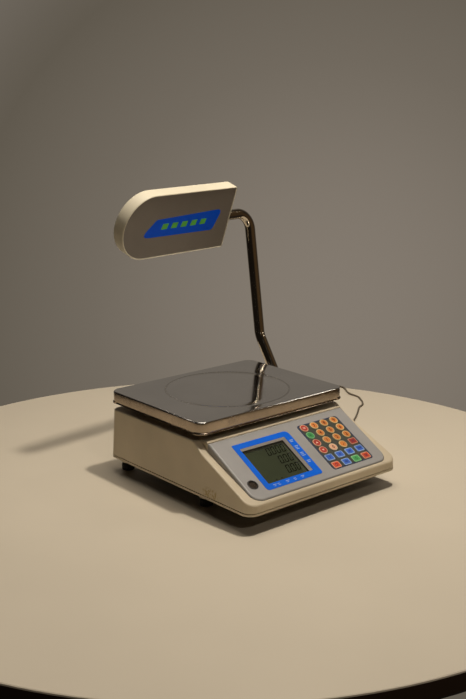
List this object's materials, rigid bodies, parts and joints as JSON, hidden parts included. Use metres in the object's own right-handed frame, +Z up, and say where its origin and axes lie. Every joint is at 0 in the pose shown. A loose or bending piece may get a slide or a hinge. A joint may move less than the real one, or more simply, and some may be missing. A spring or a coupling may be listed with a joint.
{
  "type": "electronic counter scale",
  "caption": "Flat-pan counter weighing scale with a sloping keypad console, a tilting customer display head on a bent tube, levelling feet and a coiled mains adapter lead.",
  "frame": {"origin": "centre of the bounding box of the scale without its free lead, on the table that the feet stand on", "axes": "+Z up; -Y towards the operator in front of the console; +X towards the side that carries the tube and the power inlet"},
  "size_m": [0.6382, 0.464, 0.4504],
  "materials": {
    "housing": "fine-textured moulded ABS, cream white",
    "housing_base": "fine-textured moulded ABS, cream white",
    "console": "satin moulded ABS, light warm grey",
    "overlay_blue": "printed polyester overlay, saturated blue",
    "lcd_glass": "clear acrylic window",
    "lcd_panel": "olive-grey liquid crystal panel in a dark frame",
    "keypad_film": "printed polyester keypad film, dark with a blue edge",
    "grey_rubber": "silicone rubber switch mat",
    "circuit_board": "glass-epoxy circuit board, green solder mask",
    "black_plastic": "satin black moulded plastic",
    "vial": "clear vial with a yellow-green fluid",
    "pan_steel": "polished stainless sheet",
    "cast_alloy": "die-cast aluminium",
    "black_rubber": "black rubber",
    "cell_alloy": "milled aluminium",
    "screw_steel": "zinc-plated steel",
    "battery_case": "dark grey battery case",
    "polished_tube": "polished stainless tube",
    "clamp_plastic": "glass-filled nylon",
    "head_cream": "satin moulded ABS, cream",
    "head_panel": "satin front panel, taupe, with a blue band",
    "lead_sheath": "flexible PVC sheath, dark grey-brown",
    "adapter_black": "satin black moulded plastic",
    "key_red": "silicone rubber key, red",
    "key_orange": "silicone rubber key, orange",
    "key_green": "silicone rubber key, green",
    "key_blue": "silicone rubber key, blue",
    "key_cream": "silicone rubber key, pale peach",
    "key_dark_red": "silicone rubber key, dark red",
    "key_vermilion": "silicone rubber key, vermilion"
  },
  "bodies": {
    "scale_body": {"lower_housing": "housing_base", "upper_housing": "housing", "console_plate": "console", "display_overlay": "overlay_blue", "lcd_window": "lcd_glass", "lcd_module": "lcd_panel", "keypad_panel": "keypad_film", "key_mat": "grey_rubber", "main_board": "circuit_board", "level_housing": "black_plastic", "level_vial": "vial", "spider": "cast_alloy", "pan_pads": "black_rubber", "load_cell": "cell_alloy", "load_cell_pedestal": "cast_alloy", "load_cell_screws": "screw_steel", "battery": "battery_case", "battery_cover": "housing_base", "housing_screws": "screw_steel", "pole_tube": "polished_tube", "pole_clamp": "clamp_plastic", "dc_jack": "black_plastic", "adapter_lead": "lead_sheath", "lead_coil": "lead_sheath", "dc_plug": "adapter_black", "power_adapter": "adapter_black"},
    "pan": {"pan": "pan_steel"},
    "display_head": {"head_shell": "head_cream", "head_front_panel": "head_panel", "head_bushing": "black_plastic", "head_display": "circuit_board", "head_lens": "lcd_glass"},
    "foot_front_left": {"foot_front_left": "black_rubber"},
    "foot_front_right": {"foot_front_right": "black_rubber"},
    "foot_rear_left": {"foot_rear_left": "black_rubber"},
    "foot_rear_right": {"foot_rear_right": "black_rubber"},
    "key_clear": {"key_clear": "key_red"},
    "key_7": {"key_7": "key_orange"},
    "key_8": {"key_8": "key_orange"},
    "key_9": {"key_9": "key_orange"},
    "key_add": {"key_add": "key_green"},
    "key_4": {"key_4": "key_orange"},
    "key_5": {"key_5": "key_orange"},
    "key_6": {"key_6": "key_orange"},
    "key_up": {"key_up": "key_red"},
    "key_1": {"key_1": "key_orange"},
    "key_2": {"key_2": "key_orange"},
    "key_3": {"key_3": "key_orange"},
    "key_down": {"key_down": "key_red"},
    "key_0": {"key_0": "key_cream"},
    "key_point": {"key_point": "key_orange"},
    "key_total": {"key_total": "key_dark_red"},
    "key_memory_1": {"key_memory_1": "key_blue"},
    "key_memory_2": {"key_memory_2": "key_blue"},
    "key_memory_3": {"key_memory_3": "key_blue"},
    "key_memory_4": {"key_memory_4": "key_blue"},
    "key_power": {"key_power": "key_vermilion"},
    "key_tare": {"key_tare": "key_blue"},
    "key_zero": {"key_zero": "key_green"},
    "key_print": {"key_print": "key_vermilion"}
  },
  "joints": [
    {"name": "pan_lift", "type": "slide", "parent": "scale_body", "child": "pan", "axis": [0, 0, 1], "range_m": [0, 0.04]},
    {"name": "head_tilt", "type": "hinge", "parent": "scale_body", "child": "display_head", "pos_m": [0.10908, 0.18408, 0.389], "axis": [0.9943, 0.1063, 0], "range_deg": [-35, 15]},
    {"name": "foot_front_left_turn", "type": "hinge", "parent": "scale_body", "child": "foot_front_left", "pos_m": [-0.15113, -0.08282, 0], "axis": [0, 0, 1], "continuous": true},
    {"name": "foot_front_right_turn", "type": "hinge", "parent": "scale_body", "child": "foot_front_right", "pos_m": [0.10088, -0.08282, 0], "axis": [0, 0, 1], "continuous": true},
    {"name": "foot_rear_left_turn", "type": "hinge", "parent": "scale_body", "child": "foot_rear_left", "pos_m": [-0.15113, 0.12218, 0], "axis": [0, 0, 1], "continuous": true},
    {"name": "foot_rear_right_turn", "type": "hinge", "parent": "scale_body", "child": "foot_rear_right", "pos_m": [0.10088, 0.12218, 0], "axis": [0, 0, 1], "continuous": true},
    {"name": "key_clear_press", "type": "slide", "parent": "scale_body", "child": "key_clear", "axis": [0, 0.4863, -0.8738], "range_m": [0, 0.0007], "stiffness_N_per_m": 600},
    {"name": "key_7_press", "type": "slide", "parent": "scale_body", "child": "key_7", "axis": [0, 0.4863, -0.8738], "range_m": [0, 0.0007], "stiffness_N_per_m": 600},
    {"name": "key_8_press", "type": "slide", "parent": "scale_body", "child": "key_8", "axis": [0, 0.4863, -0.8738], "range_m": [0, 0.0007], "stiffness_N_per_m": 600},
    {"name": "key_9_press", "type": "slide", "parent": "scale_body", "child": "key_9", "axis": [0, 0.4863, -0.8738], "range_m": [0, 0.0007], "stiffness_N_per_m": 600},
    {"name": "key_add_press", "type": "slide", "parent": "scale_body", "child": "key_add", "axis": [0, 0.4863, -0.8738], "range_m": [0, 0.0007], "stiffness_N_per_m": 600},
    {"name": "key_4_press", "type": "slide", "parent": "scale_body", "child": "key_4", "axis": [0, 0.4863, -0.8738], "range_m": [0, 0.0007], "stiffness_N_per_m": 600},
    {"name": "key_5_press", "type": "slide", "parent": "scale_body", "child": "key_5", "axis": [0, 0.4863, -0.8738], "range_m": [0, 0.0007], "stiffness_N_per_m": 600},
    {"name": "key_6_press", "type": "slide", "parent": "scale_body", "child": "key_6", "axis": [0, 0.4863, -0.8738], "range_m": [0, 0.0007], "stiffness_N_per_m": 600},
    {"name": "key_up_press", "type": "slide", "parent": "scale_body", "child": "key_up", "axis": [0, 0.4863, -0.8738], "range_m": [0, 0.0007], "stiffness_N_per_m": 600},
    {"name": "key_1_press", "type": "slide", "parent": "scale_body", "child": "key_1", "axis": [0, 0.4863, -0.8738], "range_m": [0, 0.0007], "stiffness_N_per_m": 600},
    {"name": "key_2_press", "type": "slide", "parent": "scale_body", "child": "key_2", "axis": [0, 0.4863, -0.8738], "range_m": [0, 0.0007], "stiffness_N_per_m": 600},
    {"name": "key_3_press", "type": "slide", "parent": "scale_body", "child": "key_3", "axis": [0, 0.4863, -0.8738], "range_m": [0, 0.0007], "stiffness_N_per_m": 600},
    {"name": "key_down_press", "type": "slide", "parent": "scale_body", "child": "key_down", "axis": [0, 0.4863, -0.8738], "range_m": [0, 0.0007], "stiffness_N_per_m": 600},
    {"name": "key_0_press", "type": "slide", "parent": "scale_body", "child": "key_0", "axis": [0, 0.4863, -0.8738], "range_m": [0, 0.0007], "stiffness_N_per_m": 600},
    {"name": "key_point_press", "type": "slide", "parent": "scale_body", "child": "key_point", "axis": [0, 0.4863, -0.8738], "range_m": [0, 0.0007], "stiffness_N_per_m": 600},
    {"name": "key_total_press", "type": "slide", "parent": "scale_body", "child": "key_total", "axis": [0, 0.4863, -0.8738], "range_m": [0, 0.0007], "stiffness_N_per_m": 600},
    {"name": "key_memory_1_press", "type": "slide", "parent": "scale_body", "child": "key_memory_1", "axis": [0, 0.4863, -0.8738], "range_m": [0, 0.0007], "stiffness_N_per_m": 600},
    {"name": "key_memory_2_press", "type": "slide", "parent": "scale_body", "child": "key_memory_2", "axis": [0, 0.4863, -0.8738], "range_m": [0, 0.0007], "stiffness_N_per_m": 600},
    {"name": "key_memory_3_press", "type": "slide", "parent": "scale_body", "child": "key_memory_3", "axis": [0, 0.4863, -0.8738], "range_m": [0, 0.0007], "stiffness_N_per_m": 600},
    {"name": "key_memory_4_press", "type": "slide", "parent": "scale_body", "child": "key_memory_4", "axis": [0, 0.4863, -0.8738], "range_m": [0, 0.0007], "stiffness_N_per_m": 600},
    {"name": "key_power_press", "type": "slide", "parent": "scale_body", "child": "key_power", "axis": [0, 0.4863, -0.8738], "range_m": [0, 0.0007], "stiffness_N_per_m": 600},
    {"name": "key_tare_press", "type": "slide", "parent": "scale_body", "child": "key_tare", "axis": [0, 0.4863, -0.8738], "range_m": [0, 0.0007], "stiffness_N_per_m": 600},
    {"name": "key_zero_press", "type": "slide", "parent": "scale_body", "child": "key_zero", "axis": [0, 0.4863, -0.8738], "range_m": [0, 0.0007], "stiffness_N_per_m": 600},
    {"name": "key_print_press", "type": "slide", "parent": "scale_body", "child": "key_print", "axis": [0, 0.4863, -0.8738], "range_m": [0, 0.0007], "stiffness_N_per_m": 600}
  ]
}
